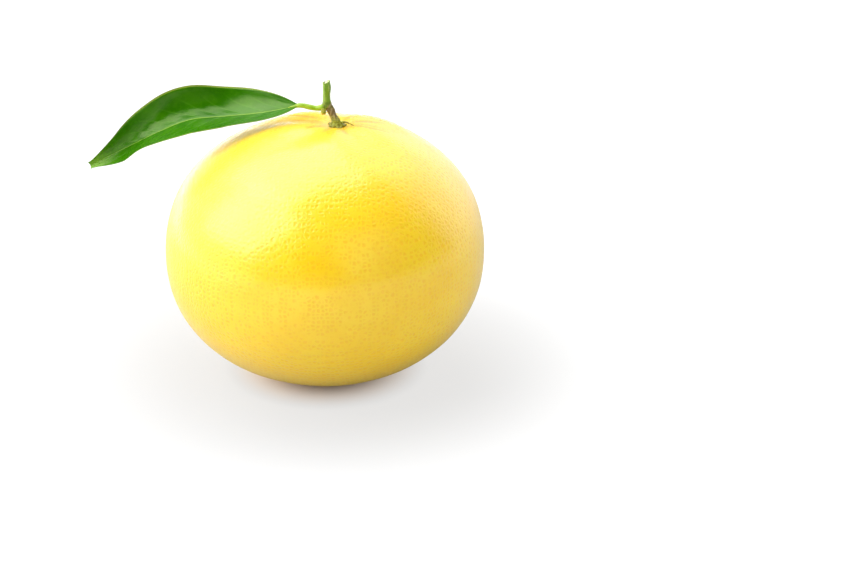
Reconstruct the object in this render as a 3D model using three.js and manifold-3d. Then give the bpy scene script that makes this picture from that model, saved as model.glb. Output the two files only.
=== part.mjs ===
// A whole grapefruit that stands on the small flat spot at its blossom end. It keeps what it was clipped
// with: the calyx, a short woody stalk, the green shoot above it, a bud, and one leaf on its leaf stalk.
//
// Millimetres, +Z up. The origin is the centre of the flat spot, and the leaf reaches out towards -X.
// Neighbouring pieces keep a gap of about 0.3 mm.

import * as THREE from 'three';
import { mergeVertices } from 'three/addons/utils/BufferGeometryUtils.js';
import Module from 'manifold-3d';

const wasm = await Module();
wasm.setup();

// ---- Driving dimensions ----

// Fruit
const fruitRadius = 57.2; // at its widest
const waistHeight = 46.5; // height of its widest part above the flat spot
const crownDepth = 46.4; // from the waist up to the top of the round form
const baseDepth = 45.7; // from the waist down
const squareness = 2.2; // exponent of the profile: 2 is an ellipse, and more fills the shoulders out
const heelDepth = 1.25; // the blossom end stands a little proud, and the flat spot is where it meets the floor
const heelRadius = 24;
const stem = new THREE.Vector2(4.5, 6.5); // where the stem stands, off the middle of the crown

// Crown relief round the stem: a hollow, and broad soft ribs that fade out down the shoulders
const hollowDepth = 1.5;
const hollowRadius = 4.5;
const ribCount = 5;
const ribHeight = 0.5;
const ribReach = 18;
const firstRib = THREE.MathUtils.degToRad(122);

const gap = 0.3;

// Calyx
const calyxRadius = 3.1;
const calyxHeight = 2.9;
const calyxRim = 0.5; // thickness where its lobes lie on the peel
const lobeCount = 5;
const lobeDepth = 0.16;
const spurRadius = 0.4; // the one long dry sepal

// Stalk, shoot and bud
const stalkRadius = 1.3;
const nodeRadius = 1.6; // where the stalk, shoot, bud and leaf stalk meet
const shootRadius = 1.28;
const shootSwelling = 0.14; // towards its top
const cutSlope = 0.4; // the shoot was clipped at a slant
const budLength = 2.4;
const budRadius = 0.85;

// Leaf
const petioleRadius = 0.9;
const bladeHalfWidth = 12.5;
const bladeTip = 0.75; // half the width of its blunt tip
const bladeThickness = 0.6;

// ---- Shared helpers ----

// Makes a plain closed geometry from one whose seams repeat their vertices.
function closed(geometry) {
  geometry.deleteAttribute('normal');
  geometry.deleteAttribute('uv');
  geometry.clearGroups();
  return mergeVertices(geometry, 1e-4);
}

// Moves every vertex of a geometry to the place that map gives for it.
function shape(geometry, map) {
  const place = geometry.attributes.position;
  const vertex = new THREE.Vector3();
  for (let i = 0; i < place.count; i += 1) {
    const moved = map(vertex.fromBufferAttribute(place, i).clone());
    place.setXYZ(i, moved.x, moved.y, moved.z);
  }
  return geometry;
}

function toSolid(geometry) {
  return new wasm.Manifold(new wasm.Mesh({
    numProp: 3,
    vertProperties: new Float32Array(geometry.attributes.position.array),
    triVerts: new Uint32Array(geometry.index.array),
  }));
}

function toGeometry(solid) {
  const mesh = solid.getMesh();
  const geometry = new THREE.BufferGeometry();
  geometry.setAttribute('position', new THREE.BufferAttribute(mesh.vertProperties, 3));
  geometry.setIndex(new THREE.BufferAttribute(mesh.triVerts, 1));
  return geometry;
}

// A round bar along a curve. radiusAt gives its radius from 0 at the start to 1 at the end.
function bar(points, radiusAt, sides = 16, steps = 14) {
  const curve = new THREE.CatmullRomCurve3(points.map((point) => new THREE.Vector3(...point)));
  const frames = curve.computeFrenetFrames(steps, false);
  return shape(closed(new THREE.CylinderGeometry(1, 1, 1, sides, steps)), (vertex) => {
    const step = Math.round((vertex.y + 0.5) * steps);
    const radius = radiusAt(step / steps);
    return curve.getPointAt(step / steps)
      .addScaledVector(frames.normals[step], -vertex.x * radius)
      .addScaledVector(frames.binormals[step], vertex.z * radius);
  });
}

function part(name, geometry, color, roughness) {
  geometry.computeVertexNormals();
  const material = new THREE.MeshStandardMaterial({ color, roughness, metalness: 0 });
  const mesh = new THREE.Mesh(geometry, material);
  mesh.name = name;
  return mesh;
}

// ---- Fruit ----

function crownRelief(x, y) {
  const reach = Math.hypot(x - stem.x, y - stem.y);
  const turn = Math.atan2(y - stem.y, x - stem.x);
  const fade = (reach / ribReach) ** 2;
  const rib = ribHeight * Math.cos(ribCount * (turn - firstRib)) * fade * Math.exp(1 - fade);
  return rib - hollowDepth * Math.exp(-((reach / hollowRadius) ** 2));
}

// Height of the peel above the flat spot, over a point of the crown.
function peelHeight(x, y) {
  const reach = Math.hypot(x, y) / fruitRadius;
  return waistHeight + crownDepth * (1 - reach ** squareness) ** (1 / squareness) + crownRelief(x, y);
}

// The point of the peel that lies in the direction of a unit vector.
function peelPoint(unit) {
  const wide = Math.hypot(unit.x, unit.y);
  const grow = (wide ** squareness + Math.abs(unit.z) ** squareness) ** (-1 / squareness);
  const x = unit.x * grow * fruitRadius;
  const y = unit.y * grow * fruitRadius;
  const rise = unit.z * grow;
  if (rise > 0) return new THREE.Vector3(x, y, waistHeight + rise * crownDepth + crownRelief(x, y));
  const heel = heelDepth * Math.exp(-((Math.hypot(x, y) / heelRadius) ** 3));
  return new THREE.Vector3(x, y, waistHeight + rise * baseDepth - heel);
}

function makeFruit() {
  const sphere = closed(new THREE.SphereGeometry(1, 72, 40));

  // The rings close up towards the stem, and their pole leans over to where it stands.
  const crowding = 1.3;
  const lean = new THREE.Quaternion().setFromUnitVectors(
    new THREE.Vector3(0, 0, 1),
    new THREE.Vector3(stem.x, stem.y, fruitRadius).normalize(),
  );
  shape(sphere, (vertex) => {
    const ring = Math.acos(THREE.MathUtils.clamp(vertex.y, -1, 1)) / Math.PI;
    const angle = Math.PI * ring ** crowding;
    const turn = Math.atan2(-vertex.z, vertex.x);
    const sine = Math.sin(angle);
    const unit = new THREE.Vector3(sine * Math.cos(turn), sine * Math.sin(turn), Math.cos(angle));
    return peelPoint(unit.applyQuaternion(lean));
  });

  const underFloor = closed(new THREE.BoxGeometry(40, 40, 10));
  underFloor.translate(0, 0, -5);
  return toGeometry(toSolid(sphere).subtract(toSolid(underFloor)));
}

// ---- Calyx: a lobed button on the peel, with a cup for the foot of the stalk ----

const stalkPath = [[4.1, 6.5, 93.2], [3.3, 6.6, 95.5], [2.2, 6.8, 97.3], [1.2, 7, 98.8]];

function stalkRadiusAt(t) {
  return stalkRadius + (nodeRadius - stalkRadius) * t ** 3 + 0.15 * (1 - t) ** 4;
}

function makeCalyx() {
  const button = shape(closed(new THREE.SphereGeometry(1, 50, 14)), (vertex) => {
    const turn = Math.atan2(vertex.z, vertex.x);
    const reach = Math.hypot(vertex.x, vertex.z);
    const lobe = 1 + lobeDepth * Math.cos(lobeCount * turn + 1);
    const x = stem.x + calyxRadius * reach * lobe * Math.cos(turn);
    const y = stem.y - calyxRadius * reach * lobe * Math.sin(turn);
    const seat = peelHeight(x, y) + gap;
    if (vertex.y < 0) return new THREE.Vector3(x, y, seat + calyxRim * (1 + vertex.y));
    return new THREE.Vector3(x, y, seat + calyxRim + vertex.y ** 2 * (calyxHeight - calyxRim));
  });

  // The long sepal runs out over the peel and ends in a point.
  const spur = bar(
    [[5.6, 6.3, 92.8], [7.3, 5.6, 93.1], [9.3, 4, 92.9], [11.1, 2.4, 92.8]],
    (t) => spurRadius * (1.1 - t),
    8,
    10,
  );
  const cup = bar([[4.2, 6.45, 92.9], ...stalkPath.slice(1)], (t) => stalkRadiusAt(t) + gap);
  return toGeometry(toSolid(button).add(toSolid(spur)).subtract(toSolid(cup)));
}

// ---- Stalk, shoot and bud ----

function makeStalk() {
  return bar(stalkPath, stalkRadiusAt);
}

// The shoot stands straight up on the node, swells towards the top and ends in the slanted cut.
function makeShoot() {
  const path = [[0.95, 7, 99.85], [0.95, 7, 103], [1.15, 7, 105.6], [0.9, 7, 107.9]];
  const [topX, , topZ] = path[3];
  const radiusAt = (t) => shootRadius + (t > 0.5 ? shootSwelling * Math.sin(2 * Math.PI * (t - 0.5)) : 0);
  return shape(bar(path, radiusAt, 16, 12), (vertex) => {
    if (vertex.z > topZ - gap) vertex.z += cutSlope * (vertex.x - topX);
    return vertex;
  });
}

// The bud hangs under the node, beside the stalk: an egg with a point at its lower end.
function makeBud() {
  const top = new THREE.Vector3(-0.15, 5.3, 98.4);
  const down = new THREE.Vector3(0.05, -0.15, -1).normalize();
  const turn = new THREE.Quaternion().setFromUnitVectors(new THREE.Vector3(0, 1, 0), down);
  return shape(closed(new THREE.SphereGeometry(1, 16, 12)), (vertex) => {
    const along = (vertex.y + 1) / 2;
    const taper = budRadius * (1 - 0.45 * along);
    const place = new THREE.Vector3(vertex.x * taper, along * budLength, vertex.z * taper);
    return place.applyQuaternion(turn).add(top);
  });
}

// ---- Leaf stalk and blade ----

function makePetiole() {
  const path = [[-0.75, 7.3, 97.8], [-2.6, 7.7, 97.6], [-5, 8.1, 97.95], [-9.1, 8.9, 98.15]];
  const radiusAt = (t) => petioleRadius * (1 - 0.12 * Math.cos(2 * Math.PI * t) - 0.2 * t ** 8);
  return bar(path, radiusAt, 12, 10);
}

// Stations along the midrib, from the joint with the leaf stalk to the tip: where the midrib runs, how far
// the blade is rolled about it, how far its halves fold up from it (degrees), and how much they cup.
const bladeStations = [
  { at: [-9.5, 9, 98.1], roll: 46, fold: 24, cup: 0.03 },
  { at: [-22, 13, 94], roll: 26, fold: 24, cup: 0.02 },
  { at: [-35, 14.5, 92], roll: 19, fold: 22, cup: 0.01 },
  { at: [-48, 13, 91.2], roll: 27, fold: 24, cup: 0.04 },
  { at: [-60, 13.3, 86.2], roll: 42, fold: 34, cup: 0.07 },
  { at: [-72, 18.4, 78], roll: 71, fold: 36, cup: 0.1 },
  { at: [-85.8, 23.8, 68.8], roll: 89, fold: 25, cup: 0.03 },
];
const midrib = new THREE.CatmullRomCurve3(
  bladeStations.map((station) => new THREE.Vector3(...station.at)),
  false,
  'catmullrom',
);
const bladeForm = new THREE.CatmullRomCurve3(
  bladeStations.map(({ roll, fold, cup }) => new THREE.Vector3(roll, fold, cup)),
  false,
  'catmullrom',
);

// A point of the blade: t runs from the joint to the tip, u across from the near margin (-1) to the far one
// (1), and lift is the distance above its middle face.
function bladePoint(t, u, lift) {
  const along = midrib.getTangent(t);
  const side = new THREE.Vector3().crossVectors(along, new THREE.Vector3(0, 0, 1)).normalize();
  const up = new THREE.Vector3().crossVectors(side, along);
  const form = bladeForm.getPoint(t);
  const roll = THREE.MathUtils.degToRad(form.x);
  const fold = THREE.MathUtils.degToRad(form.y);
  const across = side.clone().multiplyScalar(Math.cos(roll)).addScaledVector(up, Math.sin(roll));
  const out = up.clone().multiplyScalar(Math.cos(roll)).addScaledVector(side, -Math.sin(roll));
  const width = Math.max(bladeHalfWidth * Math.sin(Math.PI * t ** 0.86) ** 0.89, bladeTip);
  const rise = Math.abs(u) * Math.sin(fold) + form.z * u * u;
  return midrib.getPoint(t)
    .addScaledVector(across, width * u * Math.cos(fold))
    .addScaledVector(out, width * rise + lift);
}

function makeBlade() {
  const slab = closed(new THREE.BoxGeometry(1, 2, bladeThickness, 36, 8, 1));
  return shape(slab, (vertex) => bladePoint(0.5 - vertex.x, vertex.y, vertex.z));
}

// ---- The whole fruit ----

const grapefruit = new THREE.Group();
grapefruit.add(part('fruit', makeFruit(), 0xf7dc3f, 0.35));
grapefruit.add(part('calyx', makeCalyx(), 0x75802c, 0.7));
grapefruit.add(part('stalk', makeStalk(), 0x8c7d5c, 0.8));
grapefruit.add(part('shoot', makeShoot(), 0x6ea32d, 0.5));
grapefruit.add(part('bud', makeBud(), 0x9aa832, 0.6));
grapefruit.add(part('petiole', makePetiole(), 0x84b52a, 0.5));
grapefruit.add(part('leaf_blade', makeBlade(), 0x2f7d1f, 0.35));

export default grapefruit;
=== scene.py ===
"""A whole grapefruit that stands on the small flat spot at its blossom end, clipped with its calyx, a short
woody stalk, the green shoot above it, a bud, and one leaf on its leaf stalk.

Metres, +Z up. The origin is the centre of the flat spot, and the leaf reaches out towards -X.
"""

import math

import bmesh
import bpy
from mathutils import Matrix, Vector


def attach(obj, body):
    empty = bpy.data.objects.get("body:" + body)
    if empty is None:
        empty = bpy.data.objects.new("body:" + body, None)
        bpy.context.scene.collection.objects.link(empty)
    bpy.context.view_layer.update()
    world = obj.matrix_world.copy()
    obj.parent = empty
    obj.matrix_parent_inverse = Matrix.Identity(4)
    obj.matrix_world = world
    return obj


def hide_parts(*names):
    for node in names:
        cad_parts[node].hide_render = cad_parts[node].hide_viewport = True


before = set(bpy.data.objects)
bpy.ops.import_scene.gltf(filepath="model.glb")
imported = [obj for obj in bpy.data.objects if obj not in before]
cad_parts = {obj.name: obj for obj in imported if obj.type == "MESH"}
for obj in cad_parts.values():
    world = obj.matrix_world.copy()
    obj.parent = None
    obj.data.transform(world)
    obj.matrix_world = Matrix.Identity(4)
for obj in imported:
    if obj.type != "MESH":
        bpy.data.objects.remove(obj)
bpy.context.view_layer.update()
scene = bpy.context.scene

# ---- Camera ----
# A long lens at the height of someone's eye at a table: it looks down on the fruit a little.
view_tilt = 0.426
view_spot = (0.03568, -1.2694, 0.6091)
bpy.ops.object.camera_add(location=view_spot, rotation=(math.pi / 2 - view_tilt, 0, 0))
camera = bpy.context.object
camera.data.lens = 163.9
camera.data.sensor_width = 36
scene.camera = camera

# ---- Studio: floor, room light and softboxes ----
# A matt white floor glows where the camera sees it, as a table lit from below does, but the glow is cut away
# close round the fruit, which paints the contact shadow there. The room is dark but for three white cards
# behind. One softbox shines from high on the left and one from overhead, and three more give light without
# being mirrored.
def new_material(name):
    """A new material, with its node tree and its main shader."""
    material = bpy.data.materials.new(name)
    material.use_nodes = True
    return material, material.node_tree, material.node_tree.nodes["Principled BSDF"]


def plug(tree, value, socket):
    """Sets a socket to a plain value, or links it to another node's output."""
    if isinstance(value, bpy.types.NodeSocket):
        tree.links.new(value, socket)
    else:
        socket.default_value = value


def add_node(tree, kind, inputs, **settings):
    """Adds a node with these settings, and plugs its inputs, each by its label or number."""
    node = tree.nodes.new(kind)
    for setting, value in settings.items():
        setattr(node, setting, value)
    for socket, value in inputs.items():
        plug(tree, value, node.inputs[socket])
    return node


def calc(tree, operation, *values):
    """The sum, product and so on of plain numbers and other nodes' outputs."""
    return add_node(tree, "ShaderNodeMath", dict(enumerate(values)), operation=operation).outputs[0]


def ramp(tree, value, low, high, first=0.0, last=1.0):
    """Eases from first, where the value is low, to last, where it is high."""
    limits = {"Value": value, "From Min": low, "From Max": high, "To Min": first, "To Max": last}
    return add_node(tree, "ShaderNodeMapRange", limits, interpolation_type="SMOOTHSTEP").outputs["Result"]


def blend(tree, share, first, second):
    """Mixes two colours."""
    return add_node(tree, "ShaderNodeMix", {0: share, 6: first, 7: second}, data_type="RGBA").outputs[2]


floor_size = 6
shaded_floor = (0.1, 0.1, 0.1, 1)
# Painted warm bounce: the floor's colour close round the fruit, a warm tint that stands for yellow light
# thrown down from the peel into the contact shadow.
painted_warm_bounce = (0.66, 0.51, 0.37, 1)

bpy.ops.mesh.primitive_plane_add(size=floor_size, location=(0, 0, 0))
floor = bpy.context.object
floor.name = "floor"
acrylic, tree, shader = new_material("white_acrylic")
seen = add_node(tree, "ShaderNodeLightPath", {})
place = add_node(tree, "ShaderNodeTexCoord", {})
spread = add_node(tree, "ShaderNodeVectorMath", {0: place.outputs["Object"]}, operation="LENGTH")
away = spread.outputs["Value"]
# Seen directly, the floor glows, but the glow is cut away close round the fruit as a painted contact shadow
# and weakened a little further out as painted soft shade; close round the fruit its colour is a painted
# warm bounce of light from the peel. In all other light it is plain and pale, except that as the peel
# mirrors it, it has painted shade near the fruit and painted light far off.
# The glow is cut away close round the fruit to paint its contact shadow, and is weaker further out to paint
# soft shade.
glow_past_painted_shadow = ramp(tree, away, 0.014, 0.038, 0.0, 0.72)
glow_past_painted_shade = ramp(tree, away, 0.045, 0.14, 0.0, 0.32)
glow = calc(tree, "MULTIPLY", seen.outputs["Is Camera Ray"], calc(tree, "ADD", glow_past_painted_shadow, glow_past_painted_shade))
# Painted shade in the floor as the peel mirrors it, darker near the fruit, and painted light far off.
painted_mirror_shading = ramp(tree, away, 0.15, 0.6, -0.25, 0.5)
unseen_base_painted_mirror = calc(tree, "MULTIPLY_ADD", seen.outputs["Is Glossy Ray"], painted_mirror_shading, 0.6)
# Close round the fruit the floor seen directly takes the painted warm bounce colour.
seen_base_painted_bounce = blend(tree, ramp(tree, away, 0.018, 0.036), painted_warm_bounce, shaded_floor)
plug(tree, blend(tree, seen.outputs["Is Camera Ray"], unseen_base_painted_mirror, seen_base_painted_bounce), shader.inputs["Base Color"])
plug(tree, glow, shader.inputs["Emission Color"])
plug(tree, 1.0, shader.inputs["Emission Strength"])
plug(tree, 0.3, shader.inputs["Roughness"])
plug(tree, 0.0, shader.inputs["Specular IOR Level"])
floor.data.materials.append(acrylic)

# The white cards behind the fruit: the way to each one, how bright it is, and how near to its middle a
# direction has to be for its soft edge to start and for its full light, as cosines.
cards = (
    ((-0.9, 0.42, 0.2), 1.0, 0.7, 0.92),
    ((0.63, 0.72, 0.3), 1.6, 0.7, 0.92),
    ((-0.3, 0.95, -0.02), 0.3, 0.92, 0.99),
)
dim_walls = 0.03

room = bpy.data.worlds.new("dark_room")
room.use_nodes = True
scene.world = room
tree = room.node_tree
heading = add_node(tree, "ShaderNodeTexCoord", {}).outputs["Generated"]
room_light = dim_walls
for way, brightness, edge, full in cards:
    middle = Vector(way).normalized()
    facing = add_node(tree, "ShaderNodeVectorMath", {0: heading, 1: middle}, operation="DOT_PRODUCT")
    card_light = ramp(tree, facing.outputs["Value"], edge, full, 0.0, brightness)
    room_light = calc(tree, "ADD", card_light, room_light)
plug(tree, room_light, tree.nodes["Background"].inputs["Strength"])
plug(tree, (1, 1, 1, 1), tree.nodes["Background"].inputs["Color"])

lit_point = Vector((0, 0, 0.045))


def hang_light(way, distance, size, energy, shines=True):
    """Hangs a square softbox that way from the fruit, turned to it. One that doesn't shine isn't mirrored."""
    way = Vector(way).normalized()
    bpy.ops.object.light_add(type="AREA", location=lit_point + way * distance)
    light = bpy.context.object
    light.rotation_euler = way.to_track_quat("Z", "Y").to_euler()
    light.data.shape = "SQUARE"
    light.data.size = size
    light.data.energy = energy
    light.visible_camera = False
    light.visible_glossy = shines


hang_light((-0.72, -0.16, 0.67), 0.95, 0.9, 9.8)
hang_light((-0.2, 0.4, 0.9), 0.9, 0.8, 6.5)
hang_light((0.5, -0.7, 0.5), 1.0, 0.8, 5.4, shines=False)
hang_light((-0.9, -0.25, 0.2), 0.9, 0.8, 2.6, shines=False)
hang_light((-0.55, 0.8, 0.22), 0.9, 0.6, 9.0, shines=False)
scene.view_settings.view_transform = "Standard"

# ---- Fruit ----
# The fruit itself, one round body of thin waxy peel full of oil glands. It grows broad in the shoulders,
# with soft ribs and a hollow round the stem, and a small flat spot with a corky scar that it stands on.
fruit_radius = 0.0572
waist_height = 0.0465
crown_depth = 0.0464
base_depth = 0.0457
squareness = 2.2
heel_depth = 0.00125
heel_radius = 0.024
scar_depth = 0.0005
scar_radius = 0.0035
stem = Vector((0.0045, 0.0065))
hollow_depth = 0.0015
hollow_radius = 0.0045
rib_count = 5
rib_height = 0.0005
rib_reach = 0.018
first_rib = math.radians(122)
halvings = 7

# Short furrows run out from the calyx: the way each one goes (degrees), where it starts and ends, and how
# deep it is.
furrows = (
    (-8, 0.0055, 0.018, 0.00035),
    (12, 0.007, 0.014, 0.0002),
    (29, 0.006, 0.019, 0.0003),
    (63, 0.005, 0.012, 0.0002),
    (104, 0.006, 0.015, 0.00025),
    (139, 0.009, 0.024, 0.0003),
    (157, 0.006, 0.018, 0.00035),
    (174, 0.005, 0.013, 0.0002),
    (206, 0.0055, 0.012, 0.00025),
    (243, 0.005, 0.009, 0.0002),
    (291, 0.005, 0.011, 0.0002),
)
furrow_width = 0.0007
# The furrows are painted darker orange by their depth, as painted shade in the creases, in full at this
# depth.
furrow_shade_depth = 0.0003


def furrow_at(x, y):
    """How deep the furrows are at a point of the crown."""
    reach = math.hypot(x - stem.x, y - stem.y)
    turn = math.atan2(y - stem.y, x - stem.x)
    depth = 0
    for way, start, end, deepest in furrows:
        off = math.remainder(turn - math.radians(way), 2 * math.pi) * reach
        middle = (reach - (start + end) / 2) / (end - start) * 2
        if abs(middle) < 1.5:
            depth += deepest * math.exp(-((off / furrow_width) ** 2) - middle ** 4)
    return depth


def crown_relief(x, y):
    """How far the ribs and the hollow round the stem lift or sink the crown."""
    reach = math.hypot(x - stem.x, y - stem.y)
    turn = math.atan2(y - stem.y, x - stem.x)
    fade = (reach / rib_reach) ** 2
    rib = rib_height * math.cos(rib_count * (turn - first_rib)) * fade * math.exp(1 - fade)
    return rib - hollow_depth * math.exp(-((reach / hollow_radius) ** 2))


def peel_height(x, y):
    """The height of the peel over a point of the crown."""
    reach = math.hypot(x, y) / fruit_radius
    return waist_height + crown_depth * (1 - reach ** squareness) ** (1 / squareness) + crown_relief(x, y)


def peel_point(way):
    """The point of the peel that lies in the direction of a unit vector."""
    wide = math.hypot(way.x, way.y)
    grow = (wide ** squareness + abs(way.z) ** squareness) ** (-1 / squareness)
    x = way.x * grow * fruit_radius
    y = way.y * grow * fruit_radius
    rise = way.z * grow
    if rise > 0:
        return Vector((x, y, waist_height + rise * crown_depth + crown_relief(x, y) - furrow_at(x, y)))
    heel = heel_depth * math.exp(-((math.hypot(x, y) / heel_radius) ** 3))
    scar = scar_depth * math.exp(-((math.hypot(x, y) / scar_radius) ** 4))
    return Vector((x, y, max(waist_height + rise * base_depth - heel, 0) + scar))


bpy.ops.object.select_all(action="DESELECT")
bpy.ops.mesh.primitive_cube_add(size=2, location=(0, 0, 0))
peel = bpy.context.object
peel.name = "peel"
bpy.ops.object.mode_set(mode="EDIT")
for _ in range(halvings):
    bpy.ops.mesh.subdivide(number_cuts=1)
    bpy.ops.transform.tosphere(value=1)
bpy.ops.object.mode_set(mode="OBJECT")
for vertex in peel.data.vertices:
    vertex.co = peel_point(vertex.co.normalized())
# The painted furrow shade follows each furrow's depth.
furrow_shade_mask = peel.data.attributes.new("furrow", "FLOAT", "POINT")
for vertex, mark in zip(peel.data.vertices, furrow_shade_mask.data):
    if vertex.co.z > waist_height:
        mark.value = furrow_at(vertex.co.x, vertex.co.y) / furrow_shade_depth
bpy.ops.object.shade_smooth()


def press_in(piece, height):
    """Moves the surface along its normals. The function height(tree, place) gives how far, from nodes."""
    relief = bpy.data.node_groups.new("relief_of_" + piece.name, "GeometryNodeTree")
    relief.interface.new_socket("Geometry", in_out="INPUT", socket_type="NodeSocketGeometry")
    relief.interface.new_socket("Geometry", in_out="OUTPUT", socket_type="NodeSocketGeometry")
    mesh_in = add_node(relief, "NodeGroupInput", {}).outputs["Geometry"]
    place = add_node(relief, "GeometryNodeInputPosition", {}).outputs["Position"]
    normal = add_node(relief, "GeometryNodeInputNormal", {}).outputs["Normal"]
    away = {0: normal, "Scale": height(relief, place)}
    push = add_node(relief, "ShaderNodeVectorMath", away, operation="SCALE").outputs["Vector"]
    moved = add_node(relief, "GeometryNodeSetPosition", {"Geometry": mesh_in, "Offset": push})
    add_node(relief, "NodeGroupOutput", {"Geometry": moved.outputs["Geometry"]})
    press = piece.modifiers.new("relief", "NODES")
    press.node_group = relief
    bpy.ops.object.modifier_apply(modifier=press.name)


# The oil glands are a Voronoi pattern on the place of each point, the same in the mesh and in the colour.
gland_spacing = 0.0016
gland_randomness = 0.6
pit_rim = 0.08
pit_floor = 0.32
pit_depth = 0.00006
swell_size = 0.018
swell_height = 0.00012


def gland_pit(tree, place):
    """1 in the pit over each gland, and 0 on the ridges between them."""
    glands = {"Vector": place, "Scale": 1 / gland_spacing, "Randomness": gland_randomness}
    cells = add_node(tree, "ShaderNodeTexVoronoi", glands, feature="DISTANCE_TO_EDGE")
    return ramp(tree, cells.outputs["Distance"], pit_rim, pit_floor)


def peel_relief(tree, place):
    """How far the glands and the soft swelling between them move the peel."""
    pit = calc(tree, "MULTIPLY", gland_pit(tree, place), -pit_depth)
    noise = add_node(tree, "ShaderNodeTexNoise", {"Vector": place, "Scale": 1 / swell_size, "Detail": 1.0})
    return calc(tree, "ADD", pit, ramp(tree, noise.outputs[0], 0.3, 0.7, -swell_height, 0.0))


press_in(peel, peel_relief)

# Mottling is a noise with soft or sharp edges. It tints the peel, the barks, the bud and the leaf.
mottling = bpy.data.node_groups.new("mottling", "ShaderNodeTree")
for label, kind, value in (
    ("Place", "Vector", (0, 0, 0)),
    ("Stretch", "Vector", (1, 1, 1)),
    ("Size", "Float", 0.01),
    ("Detail", "Float", 3.0),
    ("Low", "Float", 0.3),
    ("High", "Float", 0.7),
):
    socket = mottling.interface.new_socket(label, in_out="INPUT", socket_type="NodeSocket" + kind)
    socket.default_value = value
mottling.interface.new_socket("Mask", in_out="OUTPUT", socket_type="NodeSocketFloat")
given = add_node(mottling, "NodeGroupInput", {}).outputs
drawing = {0: given["Place"], 1: given["Stretch"]}
drawn = add_node(mottling, "ShaderNodeVectorMath", drawing, operation="DIVIDE")
noise = add_node(mottling, "ShaderNodeTexNoise", {
    "Vector": drawn.outputs["Vector"],
    "Scale": calc(mottling, "DIVIDE", 1.0, given["Size"]),
    "Detail": given["Detail"],
})
add_node(mottling, "NodeGroupOutput", {"Mask": ramp(mottling, noise.outputs[0], given["Low"], given["High"])})


def mottle(tree, place, size, low=0.3, high=0.7, stretch=(1, 1, 1)):
    """A mask of patches of that size in metres, drawn out along an axis by stretch."""
    values = {"Place": place, "Size": size, "Low": low, "High": high, "Stretch": stretch, "Detail": 3.0}
    group = add_node(tree, "ShaderNodeGroup", {}, node_tree=mottling)
    for socket, value in values.items():
        plug(tree, value, group.inputs[socket])
    return group.outputs["Mask"]


def object_place(tree):
    """The place of each point in metres, which is the same as in the mesh."""
    return add_node(tree, "ShaderNodeTexCoord", {}).outputs["Object"]


def add_bump(tree, shader, height, distance):
    """Roughens the surface by a height from 0 to 1 times that distance in metres."""
    bump = add_node(tree, "ShaderNodeBump", {"Height": height, "Distance": distance, "Strength": 1.0})
    plug(tree, bump.outputs["Normal"], shader.inputs["Normal"])


ripe_yellow = (0.95, 0.61, 0.0, 1)
lemon_yellow = (0.97, 0.665, 0.012, 1)
gland_orange = (0.93, 0.55, 0.0, 1)
# Painted shade in the furrows round the calyx.
painted_furrow_shade = (0.75, 0.36, 0.01, 1)
scar_brown = (0.32, 0.2, 0.07, 1)
gland_bump = -1.3

waxy_peel, tree, shader = new_material("waxy_peel")
place = object_place(tree)
pit = gland_pit(tree, place)
patches = mottle(tree, place, 0.014)
strong = mottle(tree, place, 0.004, 0.35, 0.65)
skin = blend(tree, patches, ripe_yellow, lemon_yellow)
dots = calc(tree, "MULTIPLY", pit, ramp(tree, strong, 0.0, 1.0, 0.7, 1.0))
dotted = blend(tree, dots, skin, gland_orange)
# Painted shade in the furrows: darker orange by their depth.
furrow_shade = add_node(tree, "ShaderNodeAttribute", {}, attribute_name="furrow").outputs["Fac"]
furrow_shaded = blend(tree, furrow_shade, dotted, painted_furrow_shade)
from_scar = add_node(tree, "ShaderNodeVectorMath", {0: place}, operation="LENGTH").outputs["Value"]
scarred = blend(tree, ramp(tree, from_scar, 0.0022, 0.0036, 0.85, 0.0), furrow_shaded, scar_brown)
plug(tree, scarred, shader.inputs["Base Color"])
grain = mottle(tree, place, 0.0007, 0.2, 0.8)
add_bump(tree, shader, calc(tree, "MULTIPLY_ADD", pit, gland_bump, grain), 0.00006)
for socket, value in {
    "Roughness": 0.33,
    "Specular IOR Level": 0.6,
    "Coat Weight": 0.8,
    "Coat Roughness": 0.25,
    "Sheen Weight": 0.12,
    "Sheen Tint": (1.0, 0.8, 0.2, 1),
    "Sheen Roughness": 0.4,
    "Subsurface Weight": 0.15,
    "Subsurface Radius": (1.0, 0.5, 0.1),
    "Subsurface Scale": 0.002,
}.items():
    plug(tree, value, shader.inputs[socket])
peel.data.materials.append(waxy_peel)
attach(peel, "root")
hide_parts("fruit")

# ---- Stalk ----
# The short woody stalk that the fruit hung from, leaning off the calyx. It is covered in dry grey-brown
# bark with lengthwise cracks, greener at its foot and under the node.
def through(stations, share):
    """The smooth curve through the given stations of numbers, from 0 at the first to 1 at the last."""
    place = min(max(share, 0), 1) * (len(stations) - 1)
    first = min(int(place), len(stations) - 2)
    t = place - first
    start = stations[first]
    end = stations[first + 1]
    before = stations[first - 1] if first else [2 * a - b for a, b in zip(start, end)]
    after = stations[first + 2] if first + 2 < len(stations) else [2 * b - a for a, b in zip(start, end)]
    return [
        0.5 * (2 * b + (c - a) * t + (2 * a - 5 * b + 4 * c - d) * t ** 2 + (3 * b - a - 3 * c + d) * t ** 3)
        for a, b, c, d in zip(before, start, end, after)
    ]


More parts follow.
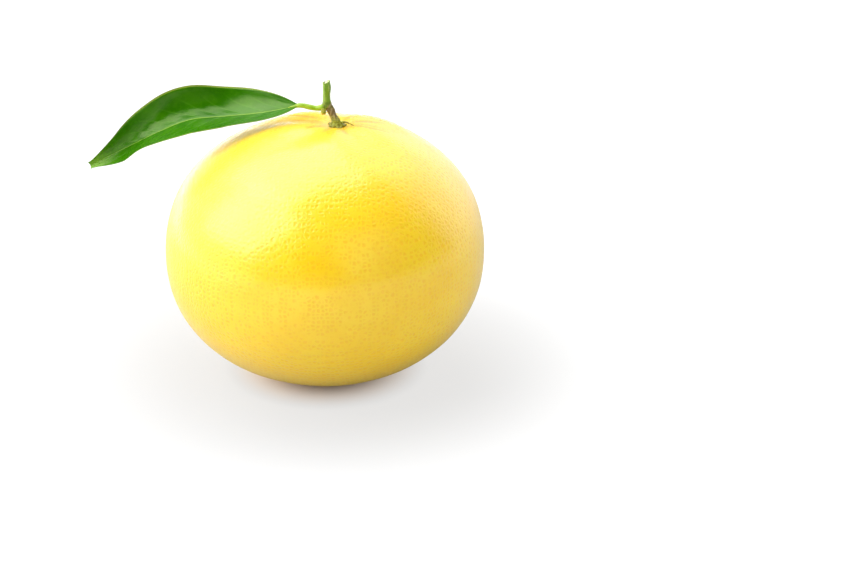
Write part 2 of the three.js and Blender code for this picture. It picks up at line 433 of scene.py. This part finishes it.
def draw_stem(name, stations, steps, sides):
    """Draws a round stem through stations of place and radius, and turns it into a closed mesh."""
    bpy.ops.object.select_all(action="DESELECT")
    bpy.ops.curve.primitive_nurbs_path_add(location=(0, 0, 0))
    line = bpy.context.object
    line.name = name
    line.data.splines.clear()
    spline = line.data.splines.new("POLY")
    spline.points.add(steps)
    for step, point in enumerate(spline.points):
        *spot, point.radius = through(stations, step / steps)
        point.co = (*spot, 1)
    line.data.bevel_depth = 1
    line.data.bevel_resolution = (sides - 4) // 2
    line.data.use_fill_caps = True
    bpy.ops.object.convert(target="MESH")
    bpy.ops.object.mode_set(mode="EDIT")
    bpy.ops.mesh.select_all(action="SELECT")
    bpy.ops.mesh.remove_doubles(threshold=0.000001)
    bpy.ops.mesh.normals_make_consistent(inside=False)
    bpy.ops.object.mode_set(mode="OBJECT")
    bpy.context.object.data.materials.clear()
    return bpy.context.object


def rough_skin(depth, size, stretch=(1, 1, 1)):
    """A relief for press_in: a noise of that depth and grain size, drawn out along an axis."""
    def height(tree, place):
        drawn = add_node(tree, "ShaderNodeVectorMath", {0: place, 1: stretch}, operation="DIVIDE")
        grains = {"Vector": drawn.outputs["Vector"], "Scale": 1 / size, "Detail": 3.0}
        noise = add_node(tree, "ShaderNodeTexNoise", grains)
        return ramp(tree, noise.outputs[0], 0.25, 0.75, -depth, depth)
    return height


# Each station of a stem is a place on its axis, from the foot up, and the radius there.
stalk = draw_stem("stalk_bark", (
    (0.0042, 0.0065, 0.0928, 0.0016),
    (0.0034, 0.0066, 0.0951, 0.00128),
    (0.0025, 0.0068, 0.097, 0.00132),
    (0.0016, 0.007, 0.0986, 0.00148),
), steps=56, sides=40)
press_in(stalk, rough_skin(0.00016, 0.001, (1, 1, 2.5)))
bpy.ops.object.shade_smooth_by_angle(angle=math.radians(50))

dark_bark = (0.17, 0.125, 0.05, 1)
pale_bark = (0.38, 0.3, 0.16, 1)
foot_olive = (0.24, 0.27, 0.03, 1)
foot_green = (0.36, 0.35, 0.08, 1)
top_green = (0.14, 0.17, 0.02, 1)
crack_brown = (0.06, 0.035, 0.012, 1)

dry_bark, tree, shader = new_material("dry_bark")
place = object_place(tree)
height = add_node(tree, "ShaderNodeSeparateXYZ", {0: place}).outputs["Z"]
plates = mottle(tree, place, 0.0008, 0.4, 0.6, (1, 1, 2.5))
cracks = mottle(tree, place, 0.0006, 0.56, 0.66, (1, 1, 4))
bark = blend(tree, plates, dark_bark, pale_bark)
greenish = blend(tree, mottle(tree, place, 0.0007, 0.35, 0.6), foot_olive, foot_green)
foot = blend(tree, ramp(tree, height, 0.0945, 0.0962, 0.9, 0.0), bark, greenish)
crown = blend(tree, ramp(tree, height, 0.0975, 0.0988, 0.0, 0.6), foot, top_green)
cracked = blend(tree, calc(tree, "MULTIPLY", cracks, 0.7), crown, crack_brown)
plug(tree, cracked, shader.inputs["Base Color"])
plug(tree, ramp(tree, plates, 0.0, 1.0, 0.85, 0.65), shader.inputs["Roughness"])
add_bump(tree, shader, calc(tree, "SUBTRACT", plates, cracks), 0.00006)
stalk.data.materials.append(dry_bark)
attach(stalk, "root")
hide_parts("stalk")

# ---- Calyx ----
# The green button that held the fruit to its stalk: a fleshy cup round the foot of the stalk, whose five
# blunt sepals lie on the peel. One more sepal has dried to a long thin spur.
def pick(chosen):
    """Leaves one object selected and active."""
    bpy.ops.object.select_all(action="DESELECT")
    chosen.select_set(True)
    bpy.context.view_layer.objects.active = chosen


def select_faces(piece, wanted):
    """Selects the faces of the piece in edit mode whose centre and normal are wanted."""
    bpy.ops.mesh.select_all(action="DESELECT")
    mesh = bmesh.from_edit_mesh(piece.data)
    for face in mesh.faces:
        if wanted(face.calc_center_median(), face.normal):
            face.select = True
    mesh.select_flush_mode()
    bmesh.update_edit_mesh(piece.data)


def pull_block(name, size, start, steps):
    """Pulls a block out along X: how far its end goes at each step, and how it widens and thickens there."""
    bpy.ops.object.select_all(action="DESELECT")
    bpy.ops.mesh.primitive_cube_add(size=1, location=(0, 0, 0))
    block = bpy.context.object
    block.name = name
    bpy.ops.transform.resize(value=size)
    bpy.ops.transform.translate(value=start)
    bpy.ops.object.transform_apply(location=True, rotation=True, scale=True)
    bpy.ops.object.mode_set(mode="EDIT")
    select_faces(block, lambda centre, normal: normal.x > 0.9)
    for way, width, thickness in steps:
        bpy.ops.mesh.extrude_region_move(TRANSFORM_OT_translate={"value": way})
        bpy.ops.transform.resize(value=(1, width, thickness))
    bpy.ops.object.mode_set(mode="OBJECT")
    return block


def add_modifier(piece, kind, **settings):
    """Adds a modifier with these settings, and applies it."""
    modifier = piece.modifiers.new(kind.lower(), kind)
    for setting, value in settings.items():
        setattr(modifier, setting, value)
    bpy.ops.object.modifier_apply(modifier=modifier.name)


def copies_round(piece, count, first, centre):
    """Copies the piece round an upright axis, and returns them all with the first one turned too."""
    ring = [piece]
    for _ in range(1, count):
        pick(piece)
        bpy.ops.object.duplicate()
        ring.append(bpy.context.object)
    for number, leaflet in enumerate(ring):
        pick(leaflet)
        turn = -(first + number * 2 * math.pi / count)
        bpy.ops.transform.rotate(value=turn, orient_axis="Z", orient_type="GLOBAL", center_override=centre)
        bpy.ops.object.transform_apply(location=True, rotation=True, scale=True)
    return ring


calyx_foot = peel_height(stem.x, stem.y) + 0.0002
calyx_grain = 0.00011
cup_radius = 0.0025
cup_height = 0.0009
sepal_count = 5
first_sepal = math.radians(-70)

bpy.ops.object.select_all(action="DESELECT")
bpy.ops.mesh.primitive_cylinder_add(
    vertices=20,
    radius=cup_radius,
    depth=cup_height,
    end_fill_type="NGON",
    location=(stem.x, stem.y, calyx_foot + 0.0003),
)
calyx = bpy.context.object
calyx.name = "calyx_cup"
bpy.ops.object.transform_apply(location=True, rotation=True, scale=True)
bpy.ops.object.mode_set(mode="EDIT")
select_faces(calyx, lambda centre, normal: normal.z > 0.9)
for lean, rise, spread in (
    (-0.0001, 0.0004, 0.84),
    (-0.0001, 0.0006, 0.82),
    (-0.0002, 0.0006, 0.95),
    (0, 0.0003, 0.9),
):
    bpy.ops.mesh.extrude_region_move(TRANSFORM_OT_translate={"value": (lean, 0, rise)})
    bpy.ops.transform.resize(value=(spread, spread, 1))
bpy.ops.object.mode_set(mode="OBJECT")
add_modifier(calyx, "SUBSURF", levels=2, render_levels=2)

sepal = pull_block("sepal", (0.001, 0.0028, 0.001), (stem.x + 0.0013, stem.y, calyx_foot + 0.0005), (
    ((0.0005, 0, -0.0001), 1.02, 0.85),
    ((0.0005, 0, -0.0001), 0.86, 0.8),
    ((0.0004, 0, 0.00005), 0.7, 0.8),
    ((0.0003, 0, 0.0002), 0.5, 0.8),
))
add_modifier(sepal, "SUBSURF", levels=2, render_levels=2)
sepals = copies_round(sepal, sepal_count, first_sepal, (stem.x, stem.y, 0))

spur = draw_stem("dry_spur", (
    (0.0052, 0.0064, 0.0926, 0.00055),
    (0.0073, 0.0056, 0.0932, 0.00038),
    (0.0093, 0.004, 0.0931, 0.00022),
    (0.0111, 0.0024, 0.0929, 0.0001),
), steps=40, sides=12)
pick(calyx)
for more in (*sepals, spur):
    more.select_set(True)
bpy.ops.object.join()
add_modifier(calyx, "REMESH", mode="VOXEL", voxel_size=calyx_grain)
add_modifier(calyx, "SMOOTH", factor=0.5, iterations=3)
press_in(calyx, rough_skin(0.00014, 0.0009))
bpy.ops.object.shade_smooth()

sepal_olive = (0.2, 0.22, 0.008, 1)
sepal_light = (0.36, 0.4, 0.04, 1)
split_brown = (0.13, 0.085, 0.01, 1)
dry_brown = (0.2, 0.15, 0.012, 1)

sepal_green, tree, shader = new_material("sepal_green")
place = object_place(tree)
cup_middle = (stem.x, stem.y, 0.093)
from_stem = add_node(tree, "ShaderNodeVectorMath", {0: place, 1: cup_middle}, operation="DISTANCE")
flesh = blend(tree, mottle(tree, place, 0.0008, 0.4, 0.6), sepal_olive, sepal_light)
cracks = mottle(tree, place, 0.0007, 0.55, 0.64)
split = blend(tree, calc(tree, "MULTIPLY", cracks, 0.85), flesh, split_brown)
dried = blend(tree, ramp(tree, from_stem.outputs["Value"], 0.0022, 0.0034, 0.0, 0.7), split, dry_brown)
plug(tree, dried, shader.inputs["Base Color"])
plug(tree, ramp(tree, cracks, 0.0, 1.0, 0.5, 0.8), shader.inputs["Roughness"])
add_bump(tree, shader, calc(tree, "MULTIPLY", cracks, -1.0), 0.00005)
calyx.data.materials.clear()
calyx.data.materials.append(sepal_green)
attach(calyx, "root")
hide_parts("calyx")

# ---- Shoot ----
# The green shoot stands straight up on the swollen node. It has soft ribs and pale streaks, swells a little
# towards its top, and was clipped there at a slant, so that its pale wood and pith show.
node_top = 0.1005
cut_height = 0.1079
cut_slope = 0.4
cut_x = 0.0009
shoot_axis = Vector((0.001, 0.007, 0))
shoot_ribs = 6
rib_swell = 0.05
rib_start = 0.002
end_ring = cut_height - 0.0001
lip_reach = 0.0006

shoot = draw_stem("shoot_stem", (
    (0.0013, 0.007, 0.0974, 0.0006),
    (0.00115, 0.007, 0.0984, 0.00158),
    (0.00105, 0.007, 0.0996, 0.00168),
    (0.00095, 0.007, 0.1012, 0.00136),
    (0.00095, 0.007, 0.1035, 0.00128),
    (0.00108, 0.007, 0.1059, 0.00141),
    (cut_x, 0.007, cut_height, 0.00124),
), steps=96, sides=48)
for vertex in shoot.data.vertices:
    off = vertex.co - shoot_axis
    onset = min(max((off.z - node_top) / rib_start, 0), 1)
    swell = rib_swell * math.cos(shoot_ribs * math.atan2(off.y, off.x)) * onset
    vertex.co.x += off.x * swell
    vertex.co.y += off.y * swell
    if off.z > end_ring:
        vertex.co.z += cut_slope * (vertex.co.x - cut_x)


def on_cut(centre, normal):
    """Whether a face of the shoot lies on its slanted cut."""
    return normal.z > 0.7 and centre.z > cut_height - lip_reach


bpy.ops.object.mode_set(mode="EDIT")
select_faces(shoot, on_cut)
bpy.ops.mesh.inset(thickness=0.0002, depth=0)
bpy.ops.mesh.inset(thickness=0.0001, depth=-0.00002)
bpy.ops.mesh.inset(thickness=0.0004, depth=0.00003)
bpy.ops.object.mode_set(mode="OBJECT")
press_in(shoot, rough_skin(0.00005, 0.0009, (1, 1, 4)))
bpy.ops.object.shade_smooth_by_angle(angle=math.radians(40))

shoot_green = (0.13, 0.27, 0.004, 1)
streak_green = (0.27, 0.4, 0.06, 1)
lenticel_pale = (0.42, 0.48, 0.2, 1)
node_dark = (0.08, 0.14, 0.004, 1)
node_light = (0.2, 0.27, 0.02, 1)
old_brown = (0.16, 0.12, 0.045, 1)
old_grey = (0.32, 0.27, 0.13, 1)
old_slope = 0.9
old_height = 0.0993

green_bark, tree, shader = new_material("green_bark")
place = object_place(tree)
sides = add_node(tree, "ShaderNodeSeparateXYZ", {0: place}).outputs
streaks = mottle(tree, place, 0.0011, 0.42, 0.6, (1, 1, 12))
lenticels = mottle(tree, place, 0.0004, 0.62, 0.7, (1, 1, 2))
green = blend(tree, streaks, shoot_green, streak_green)
specked = blend(tree, calc(tree, "MULTIPLY", lenticels, 0.5), green, lenticel_pale)
node_green = blend(tree, mottle(tree, place, 0.0008, 0.4, 0.6), node_dark, node_light)
at_node = ramp(tree, sides["Z"], node_top - 0.0006, node_top + 0.001, 1.0, 0.0)
noded = blend(tree, at_node, specked, node_green)
# The old bark of the stalk reaches up one side of the node to a slanted edge.
slant = calc(tree, "MULTIPLY_ADD", sides["Z"], -old_slope, sides["X"])
old_side = ramp(tree, slant, 0.0013 - old_slope * old_height, 0.0021 - old_slope * old_height)
old_bark = blend(tree, mottle(tree, place, 0.0007, 0.4, 0.6, (1, 1, 2)), old_brown, old_grey)
plug(tree, blend(tree, old_side, noded, old_bark), shader.inputs["Base Color"])
plug(tree, ramp(tree, lenticels, 0.0, 1.0, 0.42, 0.7), shader.inputs["Roughness"])
add_bump(tree, shader, calc(tree, "ADD", streaks, lenticels), 0.00004)

wood_green = (0.42, 0.47, 0.16, 1)
wood_pale = (0.58, 0.6, 0.3, 1)
heart_white = (0.72, 0.72, 0.5, 1)
rim_green = (0.2, 0.34, 0.05, 1)

pith, tree, shader = new_material("pith")
place = object_place(tree)
cut_middle = (cut_x, 0.007, cut_height)
from_middle = add_node(tree, "ShaderNodeVectorMath", {0: place, 1: cut_middle}, operation="DISTANCE")
ring = from_middle.outputs["Value"]
wood = blend(tree, mottle(tree, place, 0.0002, 0.4, 0.6), wood_green, wood_pale)
heart = blend(tree, ramp(tree, ring, 0.0004, 0.0006, 0.8, 0.0), wood, heart_white)
rimmed = blend(tree, ramp(tree, ring, 0.0009, 0.0012, 0.0, 0.9), heart, rim_green)
plug(tree, rimmed, shader.inputs["Base Color"])
plug(tree, ramp(tree, ring, 0.0, 0.0012, 0.9, 0.6), shader.inputs["Roughness"])
add_bump(tree, shader, mottle(tree, place, 0.0002, 0.3, 0.7), 0.00003)
shoot.data.materials.append(green_bark)
shoot.data.materials.append(pith)
for face in shoot.data.polygons:
    if on_cut(face.center, face.normal):
        face.material_index = 1
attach(shoot, "root")
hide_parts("shoot")

# ---- Bud ----
# A small bud hangs under the node, beside the stalk: a green core wrapped in pointed scales with brown tips.
bud_top = Vector((-0.0001, 0.0054, 0.0985))
bud_way = Vector((-0.05, -0.2, -1)).normalized()
scale_count = 5
first_scale = math.radians(20)
scale_lean = math.radians(82)

bpy.ops.object.select_all(action="DESELECT")
bpy.ops.mesh.primitive_uv_sphere_add(segments=24, ring_count=16, radius=0.001, location=(0, 0, 0.0011))
bud = bpy.context.object
bud.name = "bud_scales"
bpy.ops.transform.resize(value=(0.68, 0.68, 1.15))
bpy.ops.object.transform_apply(location=True, rotation=True, scale=True)
scale = pull_block("scale", (0.0003, 0.0012, 0.0003), (0, 0, 0), (
    ((0.0005, 0, -0.00004), 1.2, 1.0),
    ((0.0005, 0, 0.00008), 0.95, 0.9),
    ((0.0005, 0, 0.00022), 0.7, 0.8),
    ((0.0004, 0, 0.00028), 0.3, 0.6),
))
add_modifier(scale, "SUBSURF", levels=2, render_levels=2)
bpy.ops.transform.rotate(value=scale_lean, orient_axis="Y", orient_type="GLOBAL", center_override=(0, 0, 0))
bpy.ops.transform.translate(value=(0.00062, 0, 0.0003))
bpy.ops.object.transform_apply(location=True, rotation=True, scale=True)
scales = copies_round(scale, scale_count, first_scale, (0, 0, 0))
pick(bud)
for more in scales:
    more.select_set(True)
bpy.ops.object.join()
bud_turn = Vector((0, 0, 1)).rotation_difference(bud_way)
for vertex in bud.data.vertices:
    vertex.co = bud_turn @ vertex.co + bud_top
press_in(bud, rough_skin(0.00005, 0.0006))
bpy.ops.object.shade_smooth()

young_green = (0.19, 0.24, 0.01, 1)
young_yellow = (0.4, 0.38, 0.03, 1)
tip_brown = (0.55, 0.34, 0.02, 1)
speck_brown = (0.2, 0.1, 0.01, 1)

bud_scale, tree, shader = new_material("bud_scale")
place = object_place(tree)
height = add_node(tree, "ShaderNodeSeparateXYZ", {0: place}).outputs["Z"]
young = blend(tree, mottle(tree, place, 0.0005, 0.4, 0.6), young_green, young_yellow)
tip = blend(tree, ramp(tree, height, 0.0962, 0.0975, 0.9, 0.0), young, tip_brown)
specks = mottle(tree, place, 0.0003, 0.55, 0.65)
specked = blend(tree, calc(tree, "MULTIPLY", specks, 0.6), tip, speck_brown)
plug(tree, specked, shader.inputs["Base Color"])
plug(tree, ramp(tree, specks, 0.0, 1.0, 0.5, 0.7), shader.inputs["Roughness"])
add_bump(tree, shader, specks, 0.00003)
bud.data.materials.clear()
bud.data.materials.append(bud_scale)
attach(bud, "root")
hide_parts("bud")

# ---- Leaf stalk ----
# The leaf stalk runs from a swollen collar on the node to the joint with the blade, where it thins out into
# the midrib. It is smooth, fleshy and yellow-green, with fine pale glands.
petiole = draw_stem("leaf_stalk", (
    (0.0008, 0.0071, 0.0986, 0.0005),
    (-0.0001, 0.0072, 0.0983, 0.00125),
    (-0.0012, 0.0074, 0.0979, 0.00108),
    (-0.003, 0.0078, 0.0976, 0.00092),
    (-0.0052, 0.0081, 0.0979, 0.00098),
    (-0.0075, 0.0086, 0.0982, 0.00088),
    (-0.0091, 0.009, 0.0981, 0.0008),
    (-0.0108, 0.0095, 0.0975, 0.00052),
    (-0.0128, 0.0102, 0.0968, 0.0002),
), steps=104, sides=32)
press_in(petiole, rough_skin(0.00005, 0.0012, (3, 1, 1)))
bpy.ops.object.shade_smooth_by_angle(angle=math.radians(40))

sap_green = (0.23, 0.4, 0.004, 1)
sap_yellow = (0.32, 0.47, 0.015, 1)
gland_pale = (0.45, 0.55, 0.1, 1)

fleshy_green, tree, shader = new_material("fleshy_green")
place = object_place(tree)
streaks = mottle(tree, place, 0.0008, 0.4, 0.6, (6, 1, 1))
glands = mottle(tree, place, 0.0003, 0.6, 0.7)
sap = blend(tree, streaks, sap_green, sap_yellow)
glanded = blend(tree, calc(tree, "MULTIPLY", glands, 0.4), sap, gland_pale)
plug(tree, glanded, shader.inputs["Base Color"])
plug(tree, ramp(tree, glands, 0.0, 1.0, 0.35, 0.5), shader.inputs["Roughness"])
add_bump(tree, shader, calc(tree, "ADD", streaks, glands), 0.00003)
petiole.data.materials.append(fleshy_green)
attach(petiole, "root")
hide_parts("petiole")

# ---- Leaf blade ----
# One leathery leaf, glossy and deep green above, dull and paler below, with a pale midrib that stands out
# underneath. It folds up along the midrib, and rolls over as it bends down past the shoulder of the fruit.
blade_half_width = 0.0125
blade_taper = 0.86
blade_fullness = 0.89
blade_foot = 0.0007
blade_tip = 0.0014
blade_thickness = 0.0004
margin_thickness = 0.00022
midrib_groove = 0.00012
midrib_ridge = 0.00045
vein_count = 10
vein_lean = 2.2
vein_relief = 0.00006
crowding = 1.5

# Stations along the midrib, from the joint to the tip: where it runs, how far the blade is rolled about it,
# how far its halves fold up, how much more the far half and less the near one do (all in degrees), and how
# much both cup.
blade_stations = (
    (-0.0095, 0.009, 0.0981, 46, 24, 0, 0.03),
    (-0.022, 0.013, 0.094, 26, 24, 0, 0.02),
    (-0.035, 0.0145, 0.092, 10, 22, 9, 0.01),
    (-0.048, 0.013, 0.0912, 15, 24, 12, 0.04),
    (-0.06, 0.0133, 0.0862, 36, 34, 6, 0.07),
    (-0.072, 0.0184, 0.078, 71, 36, 0, 0.1),
    (-0.0855, 0.0237, 0.069, 89, 25, 0, 0.03),
)
# The near half rises evenly from the midrib, and the far half mostly close to its margin.
far_curl = 0.98
far_steepness = 3.6
near_steepness = 1.4


def blade_point(share, across, under):
    """A point of the blade: share runs from the joint to the tip, across from the near margin (-1) to the
    far one (1), and under is 0 on the upper face and 1 on the lower one."""
    step = 0.0001
    x, y, z, roll, fold, lean, cup = through(blade_stations, share)
    ahead = Vector(through(blade_stations, min(share + step, 1))[:3])
    behind = Vector(through(blade_stations, max(share - step, 0))[:3])
    along = (ahead - behind).normalized()
    side = along.cross(Vector((0, 0, 1))).normalized()
    up = side.cross(along)
    roll = math.radians(roll)
    fold = math.radians(fold + lean if across > 0 else fold - lean)
    over = side * math.cos(roll) + up * math.sin(roll)
    out = up * math.cos(roll) - side * math.sin(roll)
    narrowest = blade_foot + (blade_tip - blade_foot) * share
    outline = math.sin(math.pi * min(share, 0.99999) ** blade_taper) ** blade_fullness
    width = math.hypot(blade_half_width * outline, narrowest)
    upturn = far_curl * across ** far_steepness if across > 0 else abs(across) ** near_steepness
    rise = upturn * math.sin(fold) + cup * across ** 2
    off = abs(across) * width
    groove = midrib_groove * math.exp(-((off / 0.0005) ** 2))
    quilting = math.cos(2 * math.pi * (vein_count * share - vein_lean * abs(across)))
    fade = min(width / blade_half_width, 1)
    lift = vein_relief * quilting * math.sin(math.pi * abs(across)) * fade - groove
    thickness = margin_thickness + (blade_thickness - margin_thickness) * (1 - across ** 4)
    ridge = midrib_ridge * math.exp(-((off / 0.0006) ** 2)) * (1 - 0.8 * share)
    lift -= under * (thickness + ridge)
    return Vector((x, y, z)) + over * width * across * math.cos(fold) + out * (width * rise + lift)


steps_along = 180
steps_across = 56
flat_thickness = 0.2

bpy.ops.object.select_all(action="DESELECT")
bpy.ops.mesh.primitive_grid_add(
    x_subdivisions=steps_along, y_subdivisions=steps_across, size=2, calc_uvs=True, location=(0, 0, 0)
)
blade = bpy.context.object
blade.name = "leaf"
add_modifier(blade, "SOLIDIFY", thickness=flat_thickness, offset=-1, material_offset=1, material_offset_rim=0)
for vertex in blade.data.vertices:
    share = (1 + vertex.co.x) / 2
    across = math.copysign(abs(vertex.co.y) ** crowding, -vertex.co.y)
    vertex.co = blade_point(share, across, 1 if vertex.co.z < -flat_thickness / 2 else 0)
bpy.ops.object.shade_smooth()

# Both faces share one pattern of midrib, veins and margin. It reads the map, whose first number runs from
# the joint to the tip, and whose second runs across the blade, crowded towards the midrib.
leaf_veins = bpy.data.node_groups.new("leaf_veins", "ShaderNodeTree")
for label in ("Midrib", "Veins", "Margin", "Tip"):
    leaf_veins.interface.new_socket(label, in_out="OUTPUT", socket_type="NodeSocketFloat")
uv = add_node(leaf_veins, "ShaderNodeTexCoord", {}).outputs["UV"]
split_uv = add_node(leaf_veins, "ShaderNodeSeparateXYZ", {0: uv}).outputs
aside = calc(leaf_veins, "ABSOLUTE", calc(leaf_veins, "MULTIPLY_ADD", split_uv["Y"], 2.0, -1.0))
reach = calc(leaf_veins, "POWER", aside, crowding)
midrib_edge = ramp(leaf_veins, split_uv["X"], 0.0, 1.0, 0.085, 0.055)
from_midrib = calc(leaf_veins, "DIVIDE", aside, midrib_edge)
midrib = calc(leaf_veins, "SUBTRACT", 1.0, ramp(leaf_veins, from_midrib, 0.5, 1.3))
counted = calc(leaf_veins, "MULTIPLY", split_uv["X"], vein_count)
leaned = calc(leaf_veins, "MULTIPLY_ADD", reach, -vein_lean, counted)
from_vein = calc(leaf_veins, "PINGPONG", calc(leaf_veins, "ADD", leaned, 0.5), 0.5)
vein_line = ramp(leaf_veins, from_vein, 0.0, 0.09, 1.0, 0.0)
veins = calc(leaf_veins, "MULTIPLY", vein_line, ramp(leaf_veins, aside, 0.75, 0.98, 1.0, 0.0))
add_node(leaf_veins, "NodeGroupOutput", {
    "Midrib": midrib,
    "Veins": veins,
    "Margin": ramp(leaf_veins, aside, 0.975, 0.995),
    "Tip": ramp(leaf_veins, split_uv["X"], 0.86, 1.0),
})

deep_green = (0.024, 0.14, 0.0, 1)
full_green = (0.036, 0.17, 0.0, 1)
fleck_green = (0.045, 0.185, 0.0, 1)
vein_green = (0.08, 0.26, 0.01, 1)
tip_green = (0.13, 0.31, 0.008, 1)
midrib_green = (0.2, 0.36, 0.03, 1)
margin_yellow = (0.2, 0.28, 0.01, 1)

glossy_leaf, tree, shader = new_material("glossy_leaf")
place = object_place(tree)
pattern = add_node(tree, "ShaderNodeGroup", {}, node_tree=leaf_veins).outputs
leaf_green = blend(tree, mottle(tree, place, 0.006, 0.35, 0.65), deep_green, full_green)
flecked = blend(tree, mottle(tree, place, 0.0009, 0.5, 0.9), leaf_green, fleck_green)
veined = blend(tree, calc(tree, "MULTIPLY", pattern["Veins"], 0.3), flecked, vein_green)
tipped = blend(tree, calc(tree, "MULTIPLY", pattern["Tip"], 0.8), veined, tip_green)
ribbed = blend(tree, calc(tree, "MULTIPLY", pattern["Midrib"], 0.9), tipped, midrib_green)
plug(tree, blend(tree, pattern["Margin"], ribbed, margin_yellow), shader.inputs["Base Color"])
plug(tree, ramp(tree, mottle(tree, place, 0.003), 0.0, 1.0, 0.15, 0.2), shader.inputs["Roughness"])
plug(tree, 0.45, shader.inputs["Specular IOR Level"])
plug(tree, (0.9, 1.0, 0.5, 1), shader.inputs["Specular Tint"])
pores = mottle(tree, place, 0.0005, 0.3, 0.7)
add_bump(tree, shader, calc(tree, "MULTIPLY_ADD", pattern["Veins"], -1.0, pores), 0.000025)

under_green = (0.17, 0.3, 0.06, 1)
under_pale = (0.22, 0.35, 0.1, 1)
under_vein = (0.3, 0.42, 0.14, 1)
under_midrib = (0.38, 0.48, 0.14, 1)

dull_leaf, tree, shader = new_material("dull_underside")
place = object_place(tree)
pattern = add_node(tree, "ShaderNodeGroup", {}, node_tree=leaf_veins).outputs
pale = blend(tree, mottle(tree, place, 0.004, 0.35, 0.65), under_green, under_pale)
veined = blend(tree, calc(tree, "MULTIPLY", pattern["Veins"], 0.6), pale, under_vein)
plug(tree, blend(tree, pattern["Midrib"], veined, under_midrib), shader.inputs["Base Color"])
plug(tree, ramp(tree, mottle(tree, place, 0.002), 0.0, 1.0, 0.55, 0.65), shader.inputs["Roughness"])
plug(tree, 0.7, shader.inputs["Subsurface Weight"])
plug(tree, (0.6, 1.0, 0.2), shader.inputs["Subsurface Radius"])
plug(tree, 0.0015, shader.inputs["Subsurface Scale"])
add_bump(tree, shader, calc(tree, "ADD", pattern["Veins"], mottle(tree, place, 0.0005)), 0.00005)
blade.data.materials.append(glossy_leaf)
blade.data.materials.append(dull_leaf)
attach(blade, "root")
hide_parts("leaf_blade")
